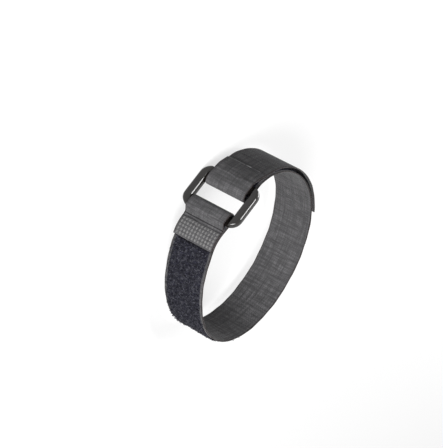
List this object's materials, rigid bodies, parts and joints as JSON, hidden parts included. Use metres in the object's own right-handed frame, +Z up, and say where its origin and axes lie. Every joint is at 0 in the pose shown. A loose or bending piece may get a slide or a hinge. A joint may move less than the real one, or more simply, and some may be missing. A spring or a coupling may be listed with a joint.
{
  "type": "hook and loop cable tie",
  "caption": "Fabric strap with a moulded ring that cinches round a bundle of cables and holds to itself with hook and loop faces.",
  "frame": {"origin": "under the middle of the overall box, on the surface that the tie stands on", "axes": "+Z up and along the loop's axis; the ring is at the front (-Y); the welded fold is on its +X side and the tail leaves on its -X side"},
  "size_m": [0.078, 0.0838, 0.028],
  "materials": {
    "ring_plastic": "satin moulded, near black",
    "loop_tape": "blue-black brushed pile outside, mid grey woven back inside",
    "hook_tape": "dark grey woven back, small moulded hooks on the inner face"
  },
  "bodies": {
    "root": {"cinch_ring": "ring_plastic", "loop_strap": "loop_tape", "hook_tail": "hook_tape"}
  },
  "joints": []
}
